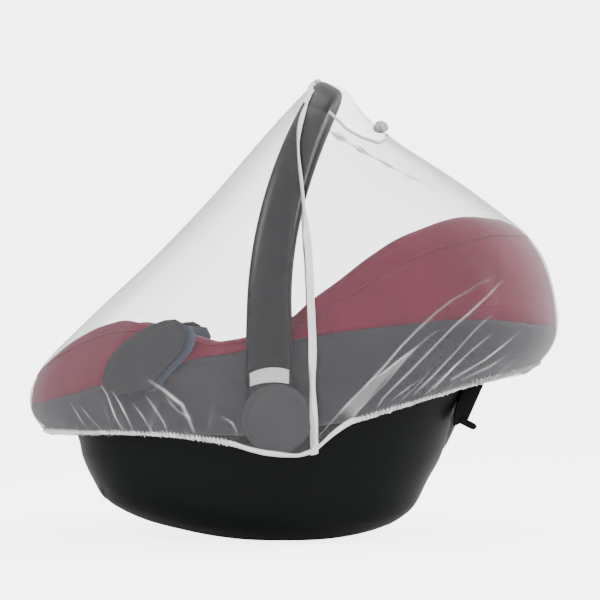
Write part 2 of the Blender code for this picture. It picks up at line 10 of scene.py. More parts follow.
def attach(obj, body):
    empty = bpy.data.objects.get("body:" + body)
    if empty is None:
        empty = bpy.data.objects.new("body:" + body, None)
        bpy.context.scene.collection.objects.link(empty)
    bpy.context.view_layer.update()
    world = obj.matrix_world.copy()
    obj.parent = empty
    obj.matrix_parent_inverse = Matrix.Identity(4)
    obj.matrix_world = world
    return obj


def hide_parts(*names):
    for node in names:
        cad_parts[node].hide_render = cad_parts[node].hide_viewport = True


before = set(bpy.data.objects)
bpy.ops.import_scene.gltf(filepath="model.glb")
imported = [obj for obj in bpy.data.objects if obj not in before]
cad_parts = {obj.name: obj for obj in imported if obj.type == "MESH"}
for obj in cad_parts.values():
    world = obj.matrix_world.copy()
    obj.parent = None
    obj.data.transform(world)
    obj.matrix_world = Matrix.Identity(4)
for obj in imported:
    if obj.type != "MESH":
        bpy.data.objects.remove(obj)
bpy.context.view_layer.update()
bpy.ops.object.select_all(action="DESELECT")
rng = np.random.default_rng(41)
mm = 0.001  # tables below are in millimetres

print("stage: camera, floor and light")
cameraPlan = {"x": 0.00845, "distance": 2.4, "height": 0.257, "lens": 110.8, "shift": 0.0583}
bpy.ops.object.camera_add(
    location=(cameraPlan["x"], -cameraPlan["distance"], cameraPlan["height"]),
    rotation=(math.radians(90), 0, 0),
)
camera = bpy.context.object
camera.data.lens = cameraPlan["lens"]
camera.data.shift_y = cameraPlan["shift"]
bpy.context.scene.camera = camera

studio = {
    "floorColor": (0.9, 0.9, 0.9),
    "floorGlow": 4.2,
    "worldStrength": 1.0,
    "keyPower": 46.0,
    "fillPower": 8.0,
    "topPower": 16.0,
    "rimPower": 42.0,
}


# Helpers for material nodes
def addNode(tree, kind, **settings):
    node = tree.nodes.new(kind)
    for key, value in settings.items():
        if hasattr(node, key):
            setattr(node, key, value)
        else:
            node.inputs[key.replace("_", " ")].default_value = value
    return node


def mathNode(tree, operation, first, second=None, clamp=False):
    node = tree.nodes.new("ShaderNodeMath")
    node.operation = operation
    node.use_clamp = clamp
    for place, value in enumerate((first, second)):
        if value is None:
            continue
        if isinstance(value, (int, float)):
            node.inputs[place].default_value = value
        else:
            tree.links.new(value, node.inputs[place])
    return node.outputs[0]


def colorRamp(tree, source, stops):
    node = tree.nodes.new("ShaderNodeValToRGB")
    tree.links.new(source, node.inputs[0])
    while len(node.color_ramp.elements) < len(stops):
        node.color_ramp.elements.new(0.5)
    for element, (place, color) in zip(node.color_ramp.elements, stops):
        element.position = place
        element.color = (*color, 1.0)
    return node.outputs[0]


def newMaterial(name):
    material = bpy.data.materials.new(name)
    material.use_nodes = True
    tree = material.node_tree
    return material, tree, tree.nodes["Principled BSDF"]


def bumpNode(tree, height, strength, distance):
    bump = addNode(tree, "ShaderNodeBump", Strength=strength, Distance=distance)
    tree.links.new(height, bump.inputs["Height"])
    return bump.outputs[0]


def objectPoint(tree):
    return addNode(tree, "ShaderNodeTexCoord").outputs["Object"]


def noiseAt(tree, point, scale, detail=3.0, roughness=0.5):
    node = addNode(tree, "ShaderNodeTexNoise", Scale=scale, Detail=detail, Roughness=roughness)
    tree.links.new(point, node.inputs["Vector"])
    return node.outputs["Fac"]


bpy.ops.mesh.primitive_grid_add(x_subdivisions=24, y_subdivisions=48, size=1)
floor = bpy.context.object
floor.name = "studioFloor"
floorPoints = np.zeros(len(floor.data.vertices) * 3)
floor.data.vertices.foreach_get("co", floorPoints)
floorPoints = floorPoints.reshape(-1, 3)
sheet = {"side": 9.0, "front": -3.6, "bendStart": 6.0, "bendLength": 1.6, "bendRadius": 1.02}
# distance along the sheet, from in front of the camera up the back
run = (floorPoints[:, 1] + 0.5) * sheet["side"]
bend = np.clip(run - sheet["bendStart"], 0.0, sheet["bendLength"])
turned = bend / sheet["bendRadius"]
floorPoints[:, 0] *= sheet["side"]
floorPoints[:, 1] = np.minimum(run, sheet["bendStart"]) + sheet["front"]
floorPoints[:, 1] += sheet["bendRadius"] * np.sin(turned)
floorPoints[:, 2] = sheet["bendRadius"] * (1 - np.cos(turned))
floorPoints[:, 2] += np.maximum(run - sheet["bendStart"] - sheet["bendLength"], 0.0)
floor.data.vertices.foreach_set("co", floorPoints.ravel())
bpy.ops.object.shade_smooth()
paper, tree, shader = newMaterial("floorPaper")
shader.inputs["Base Color"].default_value = (*studio["floorColor"], 1.0)
shader.inputs["Roughness"].default_value = 0.9
shader.inputs["Specular IOR Level"].default_value = 0.0
shader.inputs["Emission Color"].default_value = (1, 1, 1, 1)
seen = addNode(tree, "ShaderNodeLightPath").outputs["Is Camera Ray"]
tree.links.new(mathNode(tree, "MULTIPLY", seen, studio["floorGlow"]), shader.inputs["Emission Strength"])
floor.data.materials.append(paper)

world = bpy.context.scene.world or bpy.data.worlds.new("studioWorld")
bpy.context.scene.world = world
world.use_nodes = True
world.node_tree.nodes["Background"].inputs["Color"].default_value = (1, 1, 1, 1)
world.node_tree.nodes["Background"].inputs["Strength"].default_value = studio["worldStrength"]


def addSoftbox(name, place, aim, size, power):
    bpy.ops.object.light_add(type="AREA", location=place)
    light = bpy.context.object
    light.name = name
    light.data.shape = "RECTANGLE"
    light.data.size, light.data.size_y = size
    light.data.energy = power
    light.rotation_euler = (Vector(aim) - Vector(place)).to_track_quat("-Z", "Y").to_euler()
    return light


addSoftbox("keyBox", (-1.5, -1.8, 1.6), (0, 0, 0.3), (1.2, 1.2), studio["keyPower"])
addSoftbox("fillBox", (1.9, -1.5, 0.9), (0, 0, 0.25), (1.0, 1.6), studio["fillPower"])
addSoftbox("rimBox", (1.7, 0.35, 0.75), (0.2, 0, 0.25), (0.7, 1.2), studio["rimPower"])
addSoftbox("topBox", (0.1, 0.3, 2.2), (0, 0, 0.3), (1.6, 1.2), studio["topPower"])


# Shape helpers
def smoothLine(table, span=14.0):
    xs = np.arange(table[0][0] - 60.0, table[-1][0] + 60.0, 1.0)
    zs = np.interp(xs, [row[0] for row in table], [row[1] for row in table])
    reach = int(span)
    window = np.hanning(2 * reach + 3)
    return xs, np.convolve(np.pad(zs, reach + 1, mode="edge"), window / window.sum(), mode="valid")


def planRing(left, right, half, power, grow=0.0, count=400):
    turn = np.linspace(0.0, 2.0 * math.pi, count, endpoint=False)
    c, s = np.cos(turn), np.sin(turn)
    x = (left + right) / 2 + ((right - left) / 2 + grow) * np.sign(c) * np.abs(c) ** (2 / power)
    y = (half + grow) * np.sign(s) * np.abs(s) ** (2 / power)
    return np.stack([x, y, np.zeros(count)], axis=1)


def atHeight(ring, line, lift=0.0):
    raised = ring.copy()
    raised[:, 2] = np.interp(ring[:, 0], *line) + lift
    return raised


def quarter(wide, narrow, share):
    turn = share * math.pi / 2
    ring = narrow + (wide - narrow) * math.cos(turn)
    ring[:, 2] = wide[:, 2] + (narrow[:, 2] - wide[:, 2]) * math.sin(turn)
    return ring


def alongLine(table, shares):
    table = np.array(table, float)
    length = np.concatenate([[0.0], np.cumsum(np.linalg.norm(np.diff(table, axis=0), axis=1))])
    at = np.asarray(shares) * length[-1]
    return np.stack([np.interp(at, length, table[:, k]) for k in range(table.shape[1])], axis=1)


def gridPiece(name, grid):
    rows, columns = grid.shape[:2]
    bpy.ops.object.select_all(action="DESELECT")
    bpy.ops.mesh.primitive_grid_add(x_subdivisions=columns - 1, y_subdivisions=rows - 1, size=1)
    piece = bpy.context.object
    piece.name = name
    piece.data.name = name
    piece.data.vertices.foreach_set("co", (grid * mm).ravel())
    piece.data.update()
    return piece


def ringShell(name, rings, ends="cap"):
    rings = np.array(rings)
    rings = np.concatenate([rings, rings[:, :1]], axis=1)
    if ends == "loop":
        rings = np.concatenate([rings, rings[:1]], axis=0)
    piece = gridPiece(name, rings)
    bpy.ops.object.mode_set(mode="EDIT")
    bpy.ops.mesh.select_all(action="SELECT")
    bpy.ops.mesh.remove_doubles(threshold=0.00001)
    if ends == "cap":
        bpy.ops.mesh.select_all(action="DESELECT")
        bpy.ops.mesh.select_non_manifold()
        bpy.ops.mesh.fill_holes(sides=0)
        bpy.ops.mesh.select_all(action="SELECT")
    bpy.ops.mesh.normals_make_consistent(inside=False)
    bpy.ops.object.mode_set(mode="OBJECT")
    bpy.ops.object.shade_smooth()
    return piece


def applyModifier(piece, kind, **settings):
    bpy.ops.object.select_all(action="DESELECT")
    bpy.context.view_layer.objects.active = piece
    piece.select_set(True)
    modifier = piece.modifiers.new(kind.title(), kind)
    for key, value in settings.items():
        setattr(modifier, key, value)
    bpy.ops.object.modifier_apply(modifier=modifier.name)


def bevelPiece(piece, width, degrees):
    limit = math.radians(degrees)
    applyModifier(piece, "BEVEL", width=width * mm, segments=3, limit_method="ANGLE", angle_limit=limit)


def smoothByAngle(piece, degrees):
    bpy.ops.object.select_all(action="DESELECT")
    bpy.context.view_layer.objects.active = piece
    piece.select_set(True)
    bpy.ops.object.shade_smooth_by_angle(angle=math.radians(degrees))


def finishPiece(piece, material, slotName, *nodes):
    piece.data.materials.clear()
    piece.data.materials.append(material)
    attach(piece, "root")
    if nodes:
        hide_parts(*nodes)
    return piece


def treeOf(objects):
    points, faces = [], []
    for obj in objects:
        start = len(points)
        points += [v.co / mm for v in obj.data.vertices]
        faces += [[start + i for i in p.vertices] for p in obj.data.polygons]
    return BVHTree.FromPolygons(points, faces)


def addValue(piece, name, values):
    attribute = piece.data.attributes.new(name, "FLOAT", "POINT")
    attribute.data.foreach_set("value", np.asarray(values, np.float32).ravel())


def setMap(piece, us, vs):
    layer = piece.data.uv_layers.active or piece.data.uv_layers.new(name="UVMap")
    corners = np.zeros(len(piece.data.loops), np.int32)
    piece.data.loops.foreach_get("vertex_index", corners)
    pairs = np.stack([np.asarray(us).ravel()[corners], np.asarray(vs).ravel()[corners]], axis=1)
    layer.data.foreach_set("uv", pairs.astype(np.float32).ravel())


print("stage: finishes")
def plasticFinish(name, look):
    material, tree, shader = newMaterial(name)
    point = objectPoint(tree)
    broad = noiseAt(tree, point, 9.0, 2.0)
    fine = noiseAt(tree, point, look["grain"], 2.0, 0.6)
    dark = tuple(c * 0.86 for c in look["color"])
    light = tuple(c * 1.16 for c in look["color"])
    tree.links.new(colorRamp(tree, broad, ((0.3, dark), (0.7, light))), shader.inputs["Base Color"])
    rough = mathNode(tree, "MULTIPLY_ADD", fine, 0.16)
    rough.node.inputs[2].default_value = look["roughness"] - 0.08
    tree.links.new(rough, shader.inputs["Roughness"])
    tree.links.new(bumpNode(tree, fine, look["bump"], 0.0003), shader.inputs["Normal"])
    shader.inputs["Metallic"].default_value = look.get("metallic", 0.0)
    shader.inputs["Specular IOR Level"].default_value = look.get("specular", 0.5)
    return material


tubFinish = plasticFinish(
    "tubMoulding",
    {"color": (0.002, 0.0028, 0.0028), "roughness": 0.44, "grain": 900.0, "bump": 0.25, "specular": 0.12},
)
handleFinish = plasticFinish(
    "handleMoulding",
    {"color": (0.0035, 0.0037, 0.0045), "roughness": 0.33, "grain": 700.0, "bump": 0.2, "specular": 0.4},
)
capFinish = plasticFinish(
    "pivotMoulding",
    {"color": (0.052, 0.051, 0.055), "roughness": 0.5, "grain": 900.0, "bump": 0.3, "specular": 0.3},
)
silverFinish = plasticFinish(
    "silverInsert",
    {"color": (0.84, 0.85, 0.86), "roughness": 0.3, "grain": 500.0, "bump": 0.08, "metallic": 0.15},
)
hookFinish = plasticFinish(
    "hookMoulding",
    {"color": (0.03, 0.029, 0.032), "roughness": 0.5, "grain": 800.0, "bump": 0.25, "specular": 0.25},
)
guideFinish = plasticFinish(
    "guideMoulding",
    {"color": (0.09, 0.104, 0.145), "roughness": 0.5, "grain": 800.0, "bump": 0.2, "specular": 0.3},
)


def clothFinish(name, look):
    material, tree, shader = newMaterial(name)
    point = objectPoint(tree)
    turned = addNode(tree, "ShaderNodeMapping")
    turned.inputs["Rotation"].default_value = (math.radians(38), math.radians(22), math.radians(45))
    tree.links.new(point, turned.inputs["Vector"])
    twill = addNode(tree, "ShaderNodeTexWave", Scale=look["rib"], Distortion=0.6, Detail=1.0)
    tree.links.new(turned.outputs[0], twill.inputs["Vector"])
    yarn = noiseAt(tree, point, look["rib"] * 2.2, 2.0, 0.6)
    broad = noiseAt(tree, point, 14.0, 3.0)
    mixed = mathNode(tree, "MULTIPLY_ADD", twill.outputs["Fac"], 0.35)
    tree.links.new(mathNode(tree, "MULTIPLY", broad, 0.65), mixed.node.inputs[2])
    stops = ((0.25, look["dark"]), (0.75, look["light"]))
    tree.links.new(colorRamp(tree, mixed, stops), shader.inputs["Base Color"])
    height = mathNode(tree, "MULTIPLY_ADD", twill.outputs["Fac"], 0.6)
    tree.links.new(mathNode(tree, "MULTIPLY", yarn, 0.4), height.node.inputs[2])
    tree.links.new(bumpNode(tree, height, 0.35, 0.0006), shader.inputs["Normal"])
    shader.inputs["Roughness"].default_value = 0.82
    shader.inputs["Sheen Weight"].default_value = 0.35
    shader.inputs["Sheen Roughness"].default_value = 0.45
    return material


redCloth = clothFinish(
    "redTwill", {"dark": (0.155, 0.002, 0.021), "light": (0.25, 0.005, 0.042), "rib": 620.0}
)
greyCloth = clothFinish(
    "greyTwill", {"dark": (0.033, 0.028, 0.036), "light": (0.061, 0.053, 0.065), "rib": 620.0}
)


def netFinish(name, look):
    material, tree, shader = newMaterial(name)
    cloth = addNode(tree, "ShaderNodeTexCoord").outputs["UV"]
    parts = addNode(tree, "ShaderNodeSeparateXYZ")
    tree.links.new(cloth, parts.inputs[0])
    threads = None
    for side in (0, 1):  # warp and weft, one millimetre apart
        turns = mathNode(tree, "MULTIPLY", parts.outputs[side], 2 * math.pi / look["pitch"])
        wave = mathNode(tree, "SINE", turns)
        thread = mathNode(tree, "SUBTRACT", wave, look["gap"])
        thread = mathNode(tree, "MULTIPLY", thread, 1 / (1 - look["gap"]), clamp=True)
        threads = thread if threads is None else mathNode(tree, "MAXIMUM", threads, thread)
    veil = addNode(tree, "ShaderNodeAttribute", attribute_name="veil").outputs["Fac"]
    # seen aslant, the same threads close up
    facing = addNode(tree, "ShaderNodeLayerWeight", Blend=0.5).outputs["Facing"]
    straight = mathNode(tree, "MAXIMUM", mathNode(tree, "SUBTRACT", 1.0, facing), look["steepest"])
    knit = mathNode(tree, "MULTIPLY_ADD", threads, look["threadCover"])
    diagonals = []
    for operation in ("ADD", "SUBTRACT"):
        across = mathNode(tree, operation, parts.outputs[0], parts.outputs[1])
        turns = mathNode(tree, "MULTIPLY", across, 2 * math.pi / look["diamond"])
        diagonals.append(mathNode(tree, "SINE", turns))
    diamond = mathNode(tree, "MULTIPLY_ADD", mathNode(tree, "MULTIPLY", *diagonals), look["diamondCover"])
    diamond.node.inputs[2].default_value = look["holeCover"]
    tree.links.new(diamond, knit.node.inputs[2])
    slant = mathNode(tree, "POWER", straight, -look["slant"])
    gaps = mathNode(tree, "POWER", mathNode(tree, "SUBTRACT", 1.0, knit, clamp=True), slant)
    seenThrough = mathNode(tree, "MULTIPLY", gaps, mathNode(tree, "SUBTRACT", 1.0, veil, clamp=True))
    tree.links.new(mathNode(tree, "SUBTRACT", 1.0, seenThrough, clamp=True), shader.inputs["Alpha"])
    shade = mathNode(tree, "MULTIPLY_ADD", noiseAt(tree, objectPoint(tree), 30.0, 2.0), 0.12)
    tree.links.new(veil, shade.node.inputs[2])
    # painted shade: where the net is sheer its white threads are coloured grey, standing in for the shade on the
    # round threads; where the cloth lies thick it keeps its own white
    stops = ((0.0, look["dark"]), (0.14, look["light"]), (0.7, look["dense"]))
    # painted shade: in the hem's crimp hollows the "crimp" value mixes the colour towards the groove factor
    crimp = addNode(tree, "ShaderNodeAttribute", attribute_name="crimp").outputs["Fac"]
    grooveShadeMix = addNode(tree, "ShaderNodeMix", data_type="RGBA", blend_type="MULTIPLY")
    tree.links.new(crimp, grooveShadeMix.inputs[0])
    tree.links.new(colorRamp(tree, shade, stops), grooveShadeMix.inputs[6])
    grooveShadeMix.inputs[7].default_value = (look["groove"],) * 3 + (1.0,)
    tree.links.new(grooveShadeMix.outputs[2], shader.inputs["Base Color"])
    shader.inputs["Roughness"].default_value = 0.75
    shader.inputs["Sheen Weight"].default_value = 0.1
    shader.inputs["Specular IOR Level"].default_value = 0.1
    tree.links.new(bumpNode(tree, threads, 0.2, 0.0002), shader.inputs["Normal"])
    return material


netCloth = netFinish("sheerNet", {
    "pitch": 0.0011, "gap": 0.55, "threadCover": 0.4, "holeCover": 0.06, "steepest": 0.16, "slant": 0.9,
    # groove: the colour factor for the painted shade in the hem's crimp hollows
    "diamond": 0.003, "diamondCover": 0.11, "groove": 0.36,
    # dark and light: the white net painted grey where sheer, for the shade on its round threads; dense: its own
    # white where it lies thick
    "dark": (0.16, 0.16, 0.168), "light": (0.19, 0.19, 0.198), "dense": (0.95, 0.95, 0.96),
})


def tapeFinish(name, look):
    material, tree, shader = newMaterial(name)
    cloth = addNode(tree, "ShaderNodeTexCoord").outputs["UV"]
    parts = addNode(tree, "ShaderNodeSeparateXYZ")
    tree.links.new(cloth, parts.inputs[0])
    ribs = mathNode(tree, "SINE", mathNode(tree, "MULTIPLY", parts.outputs[0], 2 * math.pi / look["rib"]))
    cross = mathNode(tree, "SINE", mathNode(tree, "MULTIPLY", parts.outputs[1], 2 * math.pi / look["yarn"]))
    height = mathNode(tree, "MULTIPLY_ADD", ribs, 0.35)
    tree.links.new(mathNode(tree, "MULTIPLY_ADD", cross, 0.15), height.node.inputs[2])
    tone = mathNode(tree, "MULTIPLY_ADD", height, 0.5)
    tree.links.new(noiseAt(tree, objectPoint(tree), 60.0, 2.0), tone.node.inputs[2])
    stops = ((0.1, look["dark"]), (0.9, look["light"]))
    tree.links.new(colorRamp(tree, tone, stops), shader.inputs["Base Color"])
    tree.links.new(bumpNode(tree, height, 0.7, 0.0006), shader.inputs["Normal"])
    shader.inputs["Roughness"].default_value = 0.7
    shader.inputs["Sheen Weight"].default_value = 0.25
    return material


tapeCloth = tapeFinish(
    "whiteTape", {"rib": 0.0016, "yarn": 0.0022, "dark": (0.88, 0.88, 0.89), "light": (0.98, 0.98, 0.98)}
)
elasticCloth = clothFinish("whiteRib", {"dark": (0.5, 0.5, 0.51), "light": (0.82, 0.82, 0.83), "rib": 700.0})

print("stage: tub")
rimHeights = smoothLine((
    (-320, 206), (-300, 228), (-270, 250), (-240, 266), (-205, 276), (-174, 270), (-106, 247), (-58, 254),
    (-1, 277), (21, 298), (53, 320), (88, 348), (122, 371), (146, 382), (180, 395), (205, 403), (255, 405),
))
seamHeights = smoothLine((
    (-340, 166), (-233, 196), (-116, 229), (-76, 234), (25, 256), (76, 263), (145, 270), (180, 275), (238, 276),
    (340, 267),
))
lipHeights = smoothLine(((-285, 130), (-200, 137), (-57, 136), (65, 152), (146, 176), (209, 195), (255, 203)))
tub = {
    "wall": 4.5,
    "coverOverWall": 9.0,
    "power": 2.6,
    "middle": -12.0,
    "levels": 120,
    "innerLevels": 24,
    # ends, heights at the ends, height in the middle, half width and roundness, from the floor up
    "rings": (
        (-58, 0, 32, 0, 0, 88, 3.0),
        (-108, 5, 81, 5, 3, 118, 2.9),
        (-158, 15, 124, 16.5, 9, 136, 2.8),
        (-200, 25.6, 144, 27.6, 20, 147, 2.7),
        (-237, 44, 157, 40, 36, 154, 2.7),
        (-259, 74, 175, 74, 70, 161, 2.6),
        (-271, 100, 192, 104, 102, 165, 2.6),
        (-275, 118, 219, 160, 125, 167, 2.6),
    ),
}
crest = atHeight(planRing(-316, 255, 175, 2.6), rimHeights)


def wallFoot(grow=0.0):
    return atHeight(planRing(-279, 246, 168, 2.6, grow), lipHeights)


def wallTop(grow=0.0, lift=0.0):
    ring = planRing(-308, 249, 171, 2.6, grow)
    ring[:, 2] = crest[:, 2] - tub["coverOverWall"] + lift
    return ring


def tubSide(grow, floorLift):
    rings = []
    for level, (left, leftZ, right, rightZ, middleZ, half, power) in enumerate(tub["rings"]):
        ring = planRing(left, right, half, power, grow)
        low = ring[:, 0] < tub["middle"]
        reach = np.where(low, tub["middle"] - left, right - tub["middle"])
        share = np.clip(np.abs(ring[:, 0] - tub["middle"]) / reach, 0.0, 1.0)
        lift = floorLift * (0.25 + 0.75 * (1.0 - level / (len(tub["rings"]) - 1)))
        ring[:, 2] = middleZ + (np.where(low, leftZ, rightZ) - middleZ) * share**2 + lift
        rings.append(ring)
    return rings + [wallFoot(grow), wallTop(grow)]


def throughRings(rings, count):
    rings = np.array(rings)
    steps = np.linalg.norm(np.diff(rings, axis=0), axis=2).mean(axis=1)
    place = np.concatenate([[0.0], np.cumsum(steps)]) / steps.sum()
    slopes = np.gradient(rings, place, axis=0)
    made = []
    for at in np.linspace(0.0, 1.0, count):
        k = min(len(rings) - 2, int(np.searchsorted(place, at, side="right")) - 1)
        span = place[k + 1] - place[k]
        t = (at - place[k]) / span
        made.append(
            rings[k] * (2 * t**3 - 3 * t**2 + 1) + rings[k + 1] * (3 * t**2 - 2 * t**3)
            + slopes[k] * span * (t**3 - 2 * t**2 + t) + slopes[k + 1] * span * (t**3 - t**2)
        )
    return made


grooveLine = ((208, 186), (201, 150), (193, 110), (181, 66), (166, 30), (150, 12))
rockerLine = ((-240, 66), (-217, 55), (-120, 36), (-20, 26), (60, 22), (120, 22))


def lineDistance(x, z, line):
    best = np.full(x.shape, 1e9)
    for a, b in zip(np.array(line[:-1], float), np.array(line[1:], float)):
        t = np.clip(((x - a[0]) * (b - a)[0] + (z - a[1]) * (b - a)[1]) / ((b - a) ** 2).sum(), 0.0, 1.0)
        best = np.minimum(best, np.hypot(x - a[0] - (b - a)[0] * t, z - a[1] - (b - a)[1] * t))
    return best


def tubRelief(rings):
    rings = np.array(rings)
    around = np.roll(rings, -1, axis=1) - np.roll(rings, 1, axis=1)
    out = np.stack([around[:, :, 1], -around[:, :, 0], np.zeros(rings.shape[:2])], axis=2)
    out /= np.linalg.norm(out, axis=2)[:, :, None]
    x, z = rings[:, :, 0], rings[:, :, 2]
    groove = np.exp(-((lineDistance(x, z, grooveLine) / 1.8) ** 2)) * 3.4
    line = np.array(rockerLine, float)
    below = np.clip((np.interp(x, line[:, 0], line[:, 1]) - z) / 5.0, 0, 1) * (x > -240) * (x < 120)
    seam = np.exp(-((lineDistance(x, z, rockerLine) / 2.4) ** 2)) * 0.9
    return rings - out * (groove + below * 1.4 + seam)[:, :, None]


tubShell = ringShell(
    "tubShell",
    list(tubRelief(throughRings(tubSide(0.0, 0.0), tub["levels"])))
    + throughRings(tubSide(-tub["wall"], tub["wall"]), tub["innerLevels"])[::-1],
)
finishPiece(tubShell, tubFinish, "tub_plastic", "hull")
bracket = {
    "outline": ((206, 180), (212, 190), (237, 196), (217, 151), (199, 143), (200, 160)),
    "inner": 97.0, "outer": 107.0, "bevel": 1.6,
}


def addPlate(name, outline, yFrom, yTo, bevel):
    bpy.ops.object.select_all(action="DESELECT")
    bpy.ops.mesh.primitive_circle_add(vertices=len(outline), radius=0.01, fill_type="NGON")
    piece = bpy.context.object
    piece.name = name
    for vertex, (x, z) in zip(piece.data.vertices, outline):
        vertex.co = (x * mm, yFrom * mm, z * mm)
    bpy.ops.object.mode_set(mode="EDIT")
    bpy.ops.mesh.select_all(action="SELECT")
    bpy.ops.mesh.extrude_region_move(TRANSFORM_OT_translate={"value": (0, (yTo - yFrom) * mm, 0)})
    bpy.ops.mesh.select_all(action="SELECT")
    bpy.ops.mesh.normals_make_consistent(inside=False)
    bpy.ops.object.mode_set(mode="OBJECT")
    bevelPiece(piece, bevel, 35)
    return piece


for side, word in ((-1, "near"), (1, "far")):
    spread = (side * bracket["inner"], side * bracket["outer"])
    plate = addPlate(f"rearBracket_{word}", bracket["outline"], *spread, bracket["bevel"])
    smoothByAngle(plate, 40)
    finishPiece(plate, tubFinish, "tub_plastic")

print("stage: padded cover")
cover = {"gap": 1.3, "lipFold": 2.5, "shoulderDrop": 30.0, "swell": 1.5, "swellSpan": 0.07}
swellCloud = bpy.data.textures.new("coverSwell", "CLOUDS")
swellCloud.noise_scale = cover["swellSpan"]
swellCloud.noise_depth = 2
seamPlan = planRing(-337, 338, 188, 2.6)
seamTop, seamUnder = (atHeight(seamPlan, seamHeights, lift) for lift in (0.2, -0.2))
lip = atHeight(planRing(-283, 251, 174, 2.6), lipHeights)
shoulder = planRing(-292, 226, 154, 2.6)
shoulder[:, 2] = crest[:, 2] - cover["shoulderDrop"]
bowl = [
    atHeight(planRing(*row[:4]), smoothLine(row[4], 40))
    for row in (
        (-252, 190, 142, 2.6, ((-252, 152), (-100, 128), (0, 142), (100, 208), (190, 305))),
        (-195, 130, 122, 2.5, ((-195, 108), (-60, 84), (50, 106), (130, 182))),
        (-120, 55, 84, 2.4, ((-120, 80), (-40, 68), (55, 94))),
    )
]


def wallAt(heights, grow):
    low, high = wallFoot(grow), wallTop(grow)
    ring = low + (high - low) * ((heights - low[:, 2]) / (high[:, 2] - low[:, 2]))[:, None]
    ring[:, 2] = heights
    return ring


coverGrow = tub["wall"] + cover["gap"]
under = tubSide(-coverGrow, coverGrow)
under[-1] = wallTop(-coverGrow, cover["gap"])
topRings = [quarter(shoulder, crest, k / 8) for k in range(9)]
topRings += [quarter(seamTop, crest, k / 10) for k in range(9, -1, -1)]
redRings = throughRings(bowl[::-1] + [shoulder], 28)[:-1] + topRings
redRings += [wallAt(seamTop[:, 2], cover["gap"]), wallTop(cover["gap"], cover["gap"])]
redCover = ringShell("redCover", redRings + throughRings(under, 24)[::-1])
applyModifier(redCover, "DISPLACE", texture=swellCloud, strength=cover["swell"] * mm, mid_level=0.5)
finishPiece(redCover, redCloth, "cover_red", "seat_cover")
pipe = {"radius": 1.9, "share": 0.62, "sides": 10}


def alongTube(path, radius, sides, closed=True):
    if closed:
        along = np.roll(path, -1, axis=0) - np.roll(path, 1, axis=0)
    else:
        along = np.gradient(path, axis=0)
    along /= np.linalg.norm(along, axis=1)[:, None]
    side = np.cross(along, (0.0, 0.0, 1.0))
    side /= np.linalg.norm(side, axis=1)[:, None]
    up = np.cross(side, along)
    turns = np.linspace(0.0, 2 * math.pi, sides, endpoint=False)
    radius = np.broadcast_to(radius, len(path))
    return (
        path[:, None] + side[:, None] * np.cos(turns)[None, :, None] * radius[:, None, None]
        + up[:, None] * np.sin(turns)[None, :, None] * radius[:, None, None]
    )


pipePath = quarter(seamTop, crest, pipe["share"])
rimPiping = ringShell("rimPiping", alongTube(pipePath, pipe["radius"], pipe["sides"]), ends="loop")
finishPiece(rimPiping, redCloth, "cover_red")
bandRings = [wallAt(seamUnder[:, 2], cover["gap"]), wallAt(lip[:, 2] + cover["lipFold"], cover["gap"])]
bandRings += [quarter(seamUnder, lip, k / 12) for k in range(12, -1, -1)]
greyBand = ringShell("greyBand", bandRings, ends="loop")
applyModifier(greyBand, "DISPLACE", texture=swellCloud, strength=cover["swell"] * mm, mid_level=0.5)
finishPiece(greyBand, greyCloth, "cover_grey", "cover_band")

print("stage: handle")
handle = {
    "halfWidth": 202.0, "base": 158.0, "rise": 408.0, "power": 2.8, "widthLow": 54.0, "widthHigh": 37.0,
    "depthLow": 20.0, "depthHigh": 26.0, "pivot": (-19.0, 157.6), "pivotRadius": 41.4,
    "x": -29.0, "leanStart": 290.0, "leanSpan": 285.0, "leanReach": 78.0,
    "blendStart": 260.0, "blendSpan": 290.0, "corner": 0.62,
    "endInner": 192.0, "endOuter": 212.0, "capInner": 212.5, "capOuter": 220.0,
}


def archPoint(turn):
    c, s = math.cos(turn), math.sin(turn)
    y = -handle["halfWidth"] * math.copysign(abs(c) ** (2 / handle["power"]), c)
    z = handle["base"] + handle["rise"] * max(s, 0.0) ** (2 / handle["power"])
    lean = max(0.0, (z - handle["leanStart"]) / handle["leanSpan"])
    return Vector((handle["x"] + handle["leanReach"] * lean**2, y, z)), lean


def archSection(turn, count=40):
    centre, lean = archPoint(turn)
    along = (archPoint(min(turn + 0.004, math.pi))[0] - archPoint(max(turn - 0.004, 0.0))[0]).normalized()
    tilt = math.atan(2 * handle["leanReach"] * lean / handle["leanSpan"])
    across = Vector((math.cos(tilt), 0.0, -math.sin(tilt)))
    outwards = across.cross(along).normalized()
    share = min(1.0, max(0.0, (centre.z - handle["blendStart"]) / handle["blendSpan"]))
    width = handle["widthLow"] + (handle["widthHigh"] - handle["widthLow"]) * share
    depth = handle["depthLow"] + (handle["depthHigh"] - handle["depthLow"]) * share
    points = []
    for i in range(count):
        a = 2 * math.pi * (i + 0.5) / count
        c, s = math.cos(a), math.sin(a)
        u = width / 2 * math.copysign(abs(c) ** handle["corner"], c)
        v = depth / 2 * math.copysign(abs(s) ** handle["corner"], s)
        points.append(centre + across * u + outwards * v)
    return np.array(points)


def archTurns(count):
    dense = np.linspace(0.0, math.pi, 800)
    places = np.array([archPoint(a)[0] for a in dense])
    length = np.concatenate([[0.0], np.cumsum(np.linalg.norm(np.diff(places, axis=0), axis=1))])
    return np.interp(np.linspace(0.0, length[-1], count), length, dense)


handleArch = ringShell("handleArch", [archSection(a) for a in archTurns(150)])


def addDisc(name, radius, yFrom, yTo, centre, bevel=0.0, sides=96):
    bpy.ops.object.select_all(action="DESELECT")
    middle = (centre[0] * mm, (yFrom + yTo) / 2 * mm, centre[1] * mm)
    bpy.ops.mesh.primitive_cylinder_add(
        vertices=sides, radius=radius * mm, depth=abs(yTo - yFrom) * mm, location=middle,
        rotation=(math.radians(90), 0, 0),
    )
    piece = bpy.context.object
    piece.name = name
    bpy.ops.object.transform_apply(location=True, rotation=True, scale=True)
    if bevel:
        bevelPiece(piece, bevel, 50)
    return piece


